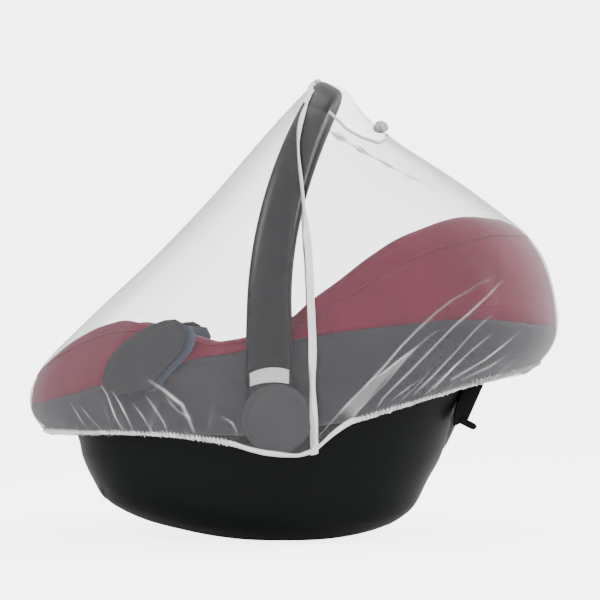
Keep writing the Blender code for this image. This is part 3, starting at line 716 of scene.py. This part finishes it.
for side in (-1, 1):
    spread = (side * handle["endInner"], side * handle["endOuter"])
    armEnd = addDisc("armEnd", handle["pivotRadius"], *spread, handle["pivot"], 1.2)
    applyModifier(handleArch, "BOOLEAN", operation="UNION", solver="EXACT", object=armEnd)
    bpy.data.objects.remove(armEnd)
smoothByAngle(handleArch, 32)
finishPiece(handleArch, handleFinish, "handle_plastic", "handle")

for side, word in ((-1, "near"), (1, "far")):
    spread = (side * handle["capInner"], side * handle["capOuter"])
    cap = addDisc(f"pivotCap_{word}", handle["pivotRadius"], *spread, handle["pivot"], 1.8)
    bpy.ops.object.mode_set(mode="EDIT")
    work = bmesh.from_edit_mesh(cap.data)
    for face in work.faces:
        face.select = face.normal.y * side > 0.99
    bmesh.update_edit_mesh(cap.data)
    bpy.ops.mesh.inset(thickness=4.2 * mm, depth=0)
    bpy.ops.mesh.inset(thickness=1.2 * mm, depth=-0.9 * mm)
    bpy.ops.mesh.inset(thickness=1.2 * mm, depth=0)
    bpy.ops.mesh.inset(thickness=1.0 * mm, depth=0.7 * mm)
    bpy.ops.object.mode_set(mode="OBJECT")
    smoothByAngle(cap, 40)
    finishPiece(cap, capFinish, "cap_plastic", f"pivot_cap_{word}")

for nodeName, material, slotName in (
    ("silver_plate_near", silverFinish, "silver_plate"), ("silver_plate_far", silverFinish, "silver_plate"),
    ("belt_hook_near", hookFinish, "hook_plastic"), ("belt_hook_far", hookFinish, "hook_plastic"),
    ("belt_guide_near", guideFinish, "guide_plastic"), ("belt_guide_far", guideFinish, "guide_plastic"),
    ("release_lever", tubFinish, "tub_plastic"),
):
    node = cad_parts[nodeName]
    for place in node.material_slots:
        place.material = material

print("stage: net")
net = {
    "clearance": 1.3,
    "farGripStart": 20,
    "rows": 78,
    "footColumns": 860,
    "headColumns": 700,
    "fineStep": 2.0,
    "footFine": 90.0,
    "headFine": 205.0,
    "footUpperRows": 58,
    "headUpperRows": 24,
    "hemWidth": 9.6,
    "crimpPitch": 4.8,
    "crimpDepth": 2.1,
    "crimpEdge": 2.2,
    "straightRows": 9,
    "hemShare": 0.8,
    "handShare": 0.3,
    "highestAxis": 500.0,
    "gatherFoot": -58.0,
    "gatherHead": 62.0,
}
tapeLine = (
    (40, 578), (29, 565), (17, 540), (7, 510), (6, 480), (14, 431), (19, 358), (23, 251), (27, 156), (26, 111),
)
hemHeights = smoothLine((
    (-300, 130), (-260, 132), (-207, 135.5), (-169, 136), (-123, 133.7), (-88, 129), (-57.6, 124), (-35, 115),
    (-12, 112), (22, 111), (30, 121), (46, 136), (65, 151), (99.6, 161.7), (146, 175.5), (180.5, 185.7),
    (209, 195), (260, 200.5),
), 5)
footProfile = (
    (26, 580), (2, 552), (-31, 509), (-196, 329), (-248, 277), (-280, 250), (-300, 235), (-324, 218), (-332, 205),
    (-339, 186), (-341, 172), (-338, 157), (-330, 148), (-321, 140), (-310, 134), (-296, 130),
)
headProfile = (
    (123, 515), (157, 477), (194, 443), (231, 420), (274, 396), (293, 378), (313, 353), (331, 326), (340, 283),
    (336, 254), (329, 239), (318, 222), (298, 213), (274, 205), (258, 200.5),
)
handEdge = ((19, 546), (44, 528), (64, 507), (83, 497), (107, 491), (116, 497))
ridgeEdge = (
    (112, 8, 527), (99, 14, 539), (91, 18, 548), (80, 22, 562), (71, 24, 577), (55, 25, 586), (38, 25, 588),
)
trimNames = ("pivot_cap", "silver_plate", "belt_hook")
hardTrim = [f"{trim}_{word}" for trim in trimNames for word in ("near", "far")]
supports = treeOf([redCover, greyBand, handleArch] + [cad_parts[n] for n in hardTrim])


def lastHit(tree, origin, ray):
    found = None
    start = Vector(origin)
    for _ in range(8):
        hit = tree.ray_cast(start, ray)[0]
        if hit is None:
            break
        found = hit
        start = hit + ray * 0.05
    return found


def sidePoint(tree, x, z, side):
    hit = lastHit(tree, (x, 0.0, z), Vector((0.0, side, 0.0)))
    if hit is None:
        hit = tree.find_nearest(Vector((x, side * 190.0, z)))[0]
    return np.array(hit)


def smoothed(grid, rowReach, columnReach):
    for axis, reach in ((0, rowReach), (1, columnReach)):
        if reach < 1:
            continue
        window = np.hanning(2 * reach + 3)[1:-1]
        window = window / window.sum()
        pads = [(0, 0)] * grid.ndim
        pads[axis] = (reach, reach)
        wide = np.pad(grid, pads, mode="reflect", reflect_type="odd")
        grid = sum(w * np.take(wide, range(k, k + grid.shape[axis]), axis=axis) for k, w in enumerate(window))
    return grid


def hemBow(x, start, end):
    share = (x - start[0]) / (end[0] - start[0])
    return np.interp(x, *hemHeights) - (start[2] + (end[2] - start[2]) * share)


def handDip(start, end, reach):
    x = start[0] + (end[0] - start[0]) * reach
    straight = start[2] + (end[1] - start[2]) * reach
    dip = np.interp(x, [p[0] for p in handEdge], [p[1] for p in handEdge]) - straight
    return min(0.0, dip) * (1.0 - reach**12)


def castPanel(tree, nearEdge, farEdge, profile, shares, columns, topEdge=None):
    middle = alongLine(profile, shares)
    grid = np.full((len(shares), columns + 1, 3), np.nan)
    for c in range(columns + 1):
        turn = math.pi * c / columns
        reach = 160.0
        for r, share in enumerate(shares):
            edge = nearEdge[r] if turn <= math.pi / 2 else farEdge[r]
            foot = np.array((edge[0], 0.0, edge[2]))
            end = np.array((middle[r, 0], 0.0, middle[r, 1]))
            target = foot + (end - foot) * math.sin(turn) + (edge - foot) * abs(math.cos(turn))
            bow = hemBow(target[0], edge, end) * max(0.0, (share - net["hemShare"]) / (1.0 - net["hemShare"]))
            if topEdge is not None and turn <= math.pi / 2:
                fade = max(0.0, 1.0 - share / net["handShare"]) ** 1.3
                bow += handDip(nearEdge[0], middle[0], math.sin(turn)) * fade
            origin = np.array((edge[0], 0.0, min(edge[2] + bow, net["highestAxis"])))
            ray = Vector(target + np.array((0.0, 0.0, bow)) - origin).normalized()
            hit = lastHit(tree, origin, ray)
            if hit is None:
                hit = tree.find_nearest(Vector(origin) + ray * reach)[0]
            reach = (hit - Vector(origin)).length
            grid[r, c] = hit
    if topEdge is not None:
        grid[0] = topEdge
    return grid


def normalsOf(grid):
    normals = np.cross(np.gradient(grid, axis=0), np.gradient(grid, axis=1))
    normals /= np.maximum(np.linalg.norm(normals, axis=2), 1e-9)[:, :, None]
    centre = grid.reshape(-1, 3).mean(axis=0) * np.array((0.3, 0.0, 1.0))
    return normals if ((grid - centre) * normals).sum() > 0 else -normals


def keepClear(grid, gap):
    flat = grid.reshape(-1, 3)
    for i, point in enumerate(flat):
        spot, normal, _, away = supports.find_nearest(Vector(point), 14.0)
        if spot is None:
            continue
        out = (Vector(point) - spot).dot(normal)
        if out < gap:
            flat[i] = np.array(spot + normal * gap)
    return grid


def byHemDistance(grid, fine, upperRows):
    rows = np.concatenate([np.linspace(0, net["hemWidth"], 9), np.arange(10.8, fine, net["fineStep"])])
    made = np.zeros((len(rows) + upperRows, grid.shape[1], 3))
    for c in range(grid.shape[1]):
        line = grid[::-1, c]
        length = np.concatenate([[0.0], np.cumsum(np.linalg.norm(np.diff(line, axis=0), axis=1))])
        upper = rows[-1] + (length[-1] - rows[-1]) * np.linspace(0, 1, upperRows + 1)[1:]
        at = np.concatenate([rows, upper])
        for k in range(3):
            made[:, c, k] = np.interp(at, length, line[:, k])
    return made[::-1]


footTree = treeOf([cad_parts["net_foot_panel"]])
headTree = treeOf([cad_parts["net_head_panel"]])
shares = np.linspace(0.0, 1.0, net["rows"])
footSide = alongLine(tapeLine, shares)
footNear, footFar = (np.array([sidePoint(footTree, x, z, side) for x, z in footSide]) for side in (-1, 1))
footGrid = castPanel(footTree, footNear, footFar, footProfile, shares, net["footColumns"])
footGrid = smoothed(footGrid, 3, 7)
footGrid = smoothed(keepClear(footGrid, net["clearance"]), 1, 1)
print("stage: foot panel cast")

besideTape = np.array((2.8, 0.0, 0.0))
nearRun = footGrid[footGrid[:, 0, 2] < 550, 0] + besideTape
farGrip = [p for p in footGrid[0, net["footColumns"] // 2 : -1] if p[1] > net["farGripStart"]]
farRun = np.concatenate([farGrip, footGrid[:, -1]]) + besideTape
headNear, headFar = (alongLine(line, shares) for line in (nearRun, farRun))
handTip = (123.0, 0.0, 516.0)
handNear = [headNear[0]]
handNear += [(x, sidePoint(headTree, x, z - 5.0, -1)[1], z) for x, z in handEdge[1:]]
handNear += [(121, -80, 502), (123, -35, 510), handTip]
half = net["headColumns"] // 2
handNear = alongLine(handNear, np.linspace(0.0, 1.0, half + 1))[:-1]
ridge = alongLine([handTip] + list(ridgeEdge) + [headFar[0]], np.linspace(0.0, 1.0, half + 1))
topEdge = np.concatenate([handNear, ridge])
topEdge = smoothed(topEdge[None], 0, 9)[0]
headGrid = castPanel(headTree, headNear, headFar, headProfile, shares, net["headColumns"], topEdge)
# the rows below the hand opening run straight down from its edge
for r in range(1, net["straightRows"]):
    headGrid[r] = headGrid[0] + (headGrid[net["straightRows"]] - headGrid[0]) * r / net["straightRows"]
headGrid = smoothed(headGrid, 3, 6)
headGrid = smoothed(keepClear(headGrid, net["clearance"]), 1, 1)
print("stage: head panel cast")

# Creases in the side view, in millimetres: points of the line, height, half width, added cover
footCreases = (
    (((-273, 175), (-264, 162), (-256, 148), (-249, 139)), 0.9, 1.2, 0.3),
    (((-258, 170), (-247, 157), (-233, 141)), 0.9, 1.1, 0.32),
    (((-230, 183), (-222, 153), (-219, 142)), 0.6, 1.5, 0.14),
    (((-230, 196), (-223, 186), (-217, 169), (-213, 157), (-205, 142)), 1.3, 1.3, 0.55),
    (((-216, 189), (-207, 175), (-200, 161), (-193, 144)), 1.3, 1.3, 0.55),
    (((-191, 175), (-180, 161), (-170, 143)), 1.1, 1.3, 0.42),
    (((-175, 184), (-163, 168), (-154, 153), (-150, 142)), 1.0, 1.4, 0.36),
    (((-172, 203), (-154, 192), (-139, 180), (-131, 174), (-123, 157), (-118, 142)), 1.8, 2.6, 0.5),
    (((-151, 183), (-138, 168), (-121, 158)), 1.0, 1.8, 0.3),
    (((-93, 177), (-97, 160), (-100, 144)), 0.7, 1.6, 0.16),
    (((-84, 160), (-72, 154), (-67, 145), (-65, 136)), 0.9, 1.4, 0.4),
)
headCreases = (
    (
        ((29, 136), (50, 159), (68, 179), (86, 196), (110, 221), (129, 243), (149, 263), (172, 284), (192, 299),
         (210, 309), (225, 319), (241, 325)), 1.3, 1.5, 0.45,
    ),
    (((86, 196), (95, 204), (110, 214), (129, 229), (150, 244), (164, 256), (177, 264)), 1.0, 1.3, 0.4),
    (((71, 160), (89, 179), (110, 200), (129, 222), (150, 244)), 1.0, 1.2, 0.35),
    (
        ((101, 173), (107, 182), (119, 194), (139, 213), (157, 231), (176, 250), (194, 268), (211, 282), (229, 298),
         (245, 313), (256, 324)), 1.3, 1.5, 0.5,
    ),
    (((117, 179), (135, 192), (152, 204)), 0.9, 1.4, 0.3),
    (((144, 185), (172, 212), (195, 236), (218, 261), (233, 275), (242, 281)), 1.2, 1.4, 0.42),
    (((169, 192), (195, 220), (218, 240), (241, 258)), 1.2, 1.3, 0.45),
    (((191, 203), (233, 227), (256, 244), (278, 261)), 1.2, 1.3, 0.5),
    (((126, 176), (150, 198), (168, 219)), 0.8, 1.5, 0.22),
    (((158, 184), (181, 207), (205, 227)), 0.8, 1.4, 0.24),
    (((205, 203), (240, 219), (268, 236)), 0.8, 1.6, 0.24),
)
# doubled cloth: middle line, half width at its two ends, added cover
headWedge = (((58, 158), (80, 180), (103, 203), (129, 226), (150, 244)), 9.0, 0.5, 0.3)
headSwath = (((150, 190), (196, 203), (240, 214), (290, 224)), 11.0, 8.0, 0.08)


def awayFromLine(x, z, line):
    best = np.full(x.shape, 1e9)
    line = np.array(line, float)
    along = np.zeros(x.shape)
    total = np.linalg.norm(np.diff(line, axis=0), axis=1).sum()
    start = 0.0
    for a, b in zip(line[:-1], line[1:]):
        length = np.linalg.norm(b - a)
        t = np.clip(((x - a[0]) * (b - a)[0] + (z - a[1]) * (b - a)[1]) / length**2, 0.0, 1.0)
        away = np.hypot(x - a[0] - (b - a)[0] * t, z - a[1] - (b - a)[1] * t)
        nearer = away < best
        best = np.where(nearer, away, best)
        along = np.where(nearer, (start + t * length) / total, along)
        start += length
    return best, along


def creaseShare(x, z, line, spread):
    away, along = awayFromLine(x, z, line)
    fade = np.sin(np.pi * np.clip(along * 0.86 + 0.09, 0, 1)) ** 0.6
    return np.exp(-((away / (spread * 0.82)) ** 2)) * fade * (0.85 + 0.15 * np.sin(along * 9.0 + line[0][0]))


def doubledShare(x, z, line, startWidth, endWidth):
    away, along = awayFromLine(x, z, line)
    width = startWidth + (endWidth - startWidth) * along
    ends = np.clip(along * 8, 0, 1) * np.clip((1 - along) * 8, 0, 1)
    return np.clip((width - away) / 2.0 + 0.5, 0, 1) * ends


def finishNet(name, grid, creases, doubled, gatherX, fine, upperRows, node):
    grid = byHemDistance(grid, fine, upperRows)
    normals = normalsOf(smoothed(grid, 2, 3))
    rows, columns = grid.shape[:2]
    hem = grid[-1]
    hemRun = np.concatenate([[0.0], np.cumsum(np.linalg.norm(np.diff(hem, axis=0), axis=1))])
    toHem = np.cumsum(np.linalg.norm(np.diff(grid[::-1], axis=0), axis=2), axis=0)
    toHem = np.concatenate([np.zeros((1, columns)), toHem])[::-1]
    if gatherX < 0:
        gather = np.clip((gatherX - hem[:, 0]) / 25.0, 0.0, 1.0)
    else:
        gather = np.clip((hem[:, 0] - gatherX) / 25.0, 0.0, 1.0)
    veil = np.zeros((rows, columns))
    lift = np.zeros((rows, columns))
    far = grid[:, :, 1] > 0  # the far side has the same creases, moved a little
    x, z = grid[:, :, 0] + far * 7.0, grid[:, :, 2] - far * 5.0
    for line, height, spread, dense in creases:
        share = creaseShare(x, z, line, spread)
        lift += share * height
        veil += share * dense * 1.3
    for line, startWidth, endWidth, dense in doubled:
        veil += doubledShare(x, z, line, startWidth, endWidth) * dense
    # small gathers that rise from the hem
    place = 0.0
    while place < hemRun[-1]:
        width = rng.uniform(0.9, 2.4)
        tall = rng.uniform(14.0, 60.0) * rng.choice((0.5, 1.0))
        deep = rng.uniform(0.4, 1.3)
        lean = rng.uniform(-0.5, 0.5)
        across = hemRun[None, :] - place - lean * toHem
        bump = np.exp(-((across / (width * (1 + toHem / 60.0))) ** 2)) * np.clip(1 - toHem / tall, 0, 1) ** 0.8
        lift += bump * deep * gather
        veil += bump * 0.2 * deep * gather
        place += rng.uniform(4.0, 13.0)
    # the hem, drawn together by its elastic
    knots = np.arange(0.0, hemRun[-1] + 20.0, 20.0)
    phase = hemRun / net["crimpPitch"] + 0.7 * np.interp(hemRun, knots, rng.uniform(-1, 1, len(knots)))
    crimp = np.sin(2 * np.pi * phase) * 0.7 + np.sin(4.4 * np.pi * phase + 1.3) * 0.4
    crimp = crimp[None, :] * gather[None, :]
    puff = np.sin(np.pi * np.clip(toHem / net["hemWidth"], 0, 1)) ** 0.7
    upper = np.roll(crimp, 3, axis=1)
    inHem = np.clip((net["hemWidth"] + 0.6 + net["crimpEdge"] * upper - toHem) / 1.2, 0.0, 1.0)
    lift += inHem * (1.3 * puff + net["crimpDepth"] * crimp * (0.35 + 0.65 * puff))
    veil = veil + inHem * 0.93
    # painted shade: the hollows between the hem's crimps get a darkening value, kept as "crimp", that darkens the
    # net colour there
    dark = inHem * np.clip(0.3 - 1.0 * crimp, 0, 1) * gather[None, :]
    grid = grid + normals * lift[:, :, None]
    grid[:, :, 2] += crimp * net["crimpEdge"] * np.clip(1 - toHem / 7.0, 0, 1)
    piece = gridPiece(name, grid)
    bpy.ops.object.shade_smooth()
    addValue(piece, "veil", np.clip(veil, 0.0, 0.96))
    addValue(piece, "crimp", dark)
    setMap(piece, np.broadcast_to(hemRun * mm, (rows, columns)), toHem * mm)
    finishPiece(piece, netCloth, "net_cloth", node)
    return piece


netFoot = finishNet(
    "netFoot", footGrid, footCreases, (), net["gatherFoot"], net["footFine"], net["footUpperRows"],
    "net_foot_panel",
)
netHead = finishNet(
    "netHead", headGrid, headCreases, (headWedge, headSwath), net["gatherHead"], net["headFine"],
    net["headUpperRows"], "net_head_panel",
)


print("stage: tape and elastic")
tape = {
    "widths": ((100, 10.0), (260, 9.4), (420, 8.2), (590, 7.4)),  # by height
    "lift": 2.2, "crown": 0.4, "thickness": 1.0, "across": 9, "steps": 620,
    "gripStart": 500.0, "gripSpan": 50.0,
}
rawPath = np.concatenate([footGrid[::-1, 0], footGrid[0, 1:-1], footGrid[:, -1]])
rawPath = alongLine(rawPath, np.linspace(0, 1, tape["steps"]))
atGrip = np.clip((rawPath[:, 2:] - tape["gripStart"]) / tape["gripSpan"], 0.0, 1.0)
tapePath = smoothed(rawPath[None], 0, 26)[0] * (1 - atGrip) + smoothed(rawPath[None], 0, 7)[0] * atGrip
tapeNormals = []
for point in tapePath:
    spot, normal, _, _ = footTree.find_nearest(Vector(point))
    outward = Vector(point) - Vector((0.0, 0.0, 300.0))
    tapeNormals.append(normal if normal.dot(outward) > 0 else -normal)
tapeNormals = smoothed(np.array(tapeNormals)[None], 0, 24)[0]
tapeNormals /= np.linalg.norm(tapeNormals, axis=1)[:, None]
tapeAcross = np.cross(tapeNormals, np.gradient(tapePath, axis=0))
tapeAcross /= np.linalg.norm(tapeAcross, axis=1)[:, None]
tapeRun = np.concatenate([[0.0], np.cumsum(np.linalg.norm(np.diff(tapePath, axis=0), axis=1))])
places = np.linspace(-1, 1, tape["across"])
tapeHalf = np.interp(tapePath[:, 2], *zip(*tape["widths"])) / 2
ribbon = (
    tapePath[:, None] + tapeAcross[:, None] * places[None, :, None] * tapeHalf[:, None, None]
    + tapeNormals[:, None] * (tape["lift"] + tape["crown"] * (1 - places[None, :, None] ** 2))
)
seamTape = gridPiece("seamTape", ribbon)
acrossRun = places[None] * tapeHalf[:, None] * mm
setMap(seamTape, np.broadcast_to(tapeRun[:, None] * mm, acrossRun.shape), acrossRun)
applyModifier(seamTape, "SOLIDIFY", thickness=tape["thickness"] * mm, offset=1.0)
bpy.ops.object.shade_smooth()
finishPiece(seamTape, tapeCloth, "binding_tape", "seam_tape")

elastic = {"radius": 1.9, "crimp": 0.35, "pitch": 3.6, "from": 0.055, "to": 0.48, "seat": 0.8}
edge = headGrid[0]
inwards = np.cross(normalsOf(headGrid)[0], np.gradient(edge, axis=0))
inwards /= np.linalg.norm(inwards, axis=1)[:, None]
inwards *= np.sign((inwards * (headGrid[0] - headGrid[3])).sum())
elasticPath = edge + smoothed(inwards[None], 0, 20)[0] * (elastic["radius"] + elastic["seat"])
span = [int(elastic[end] * len(edge)) for end in ("from", "to")]
elasticPath = alongLine(elasticPath[span[0] : span[1]], np.linspace(0, 1, 460))
elasticRun = np.linspace(0.0, np.linalg.norm(np.diff(elasticPath, axis=0), axis=1).sum(), len(elasticPath))
elasticRadius = elastic["radius"] + elastic["crimp"] * np.sin(2 * math.pi * elasticRun / elastic["pitch"])
gripElastic = ringShell("gripElastic", alongTube(elasticPath, elasticRadius, 14, closed=False))
finishPiece(gripElastic, elasticCloth, "binding_tape", "grip_elastic")


# Binding ends drawn together into crumpled tufts
def crumpledTuft(name, nodeName, lobes, shift=0.0, levels=36, sides=140):
    points = np.array([v.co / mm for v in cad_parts[nodeName].data.vertices])
    low, high = points.min(axis=0), points.max(axis=0)
    centre, half = (low + high) / 2, (high - low) / 2
    turns = np.linspace(0.0, 2 * math.pi, sides, endpoint=False)
    rings = []
    for share in np.linspace(0.04, 0.97, levels):
        swell = 0.82 * math.sin(math.pi * share ** 0.8) ** 0.55
        fold = 1 + 0.2 * np.cos(lobes * turns + 4.0 * share)
        fold += 0.11 * np.sin((2 * lobes + 1) * turns - 7.0 * share)
        z = centre[2] + half[2] * (2 * share - 1 + 0.1 * np.sin(3 * turns + 5.0 * share))
        x = centre[0] + shift + half[0] * swell * fold * np.cos(turns)
        y = centre[1] + half[1] * swell * fold * np.sin(turns)
        rings.append(np.stack([x, y, z], axis=1))
    return finishPiece(ringShell(name, rings), elasticCloth, "binding_tape", nodeName)


crumpledTuft("topTuft", "gather_tab_top", 5, shift=9.0)
crumpledTuft("rearTuft", "gather_tab_rear", 6)
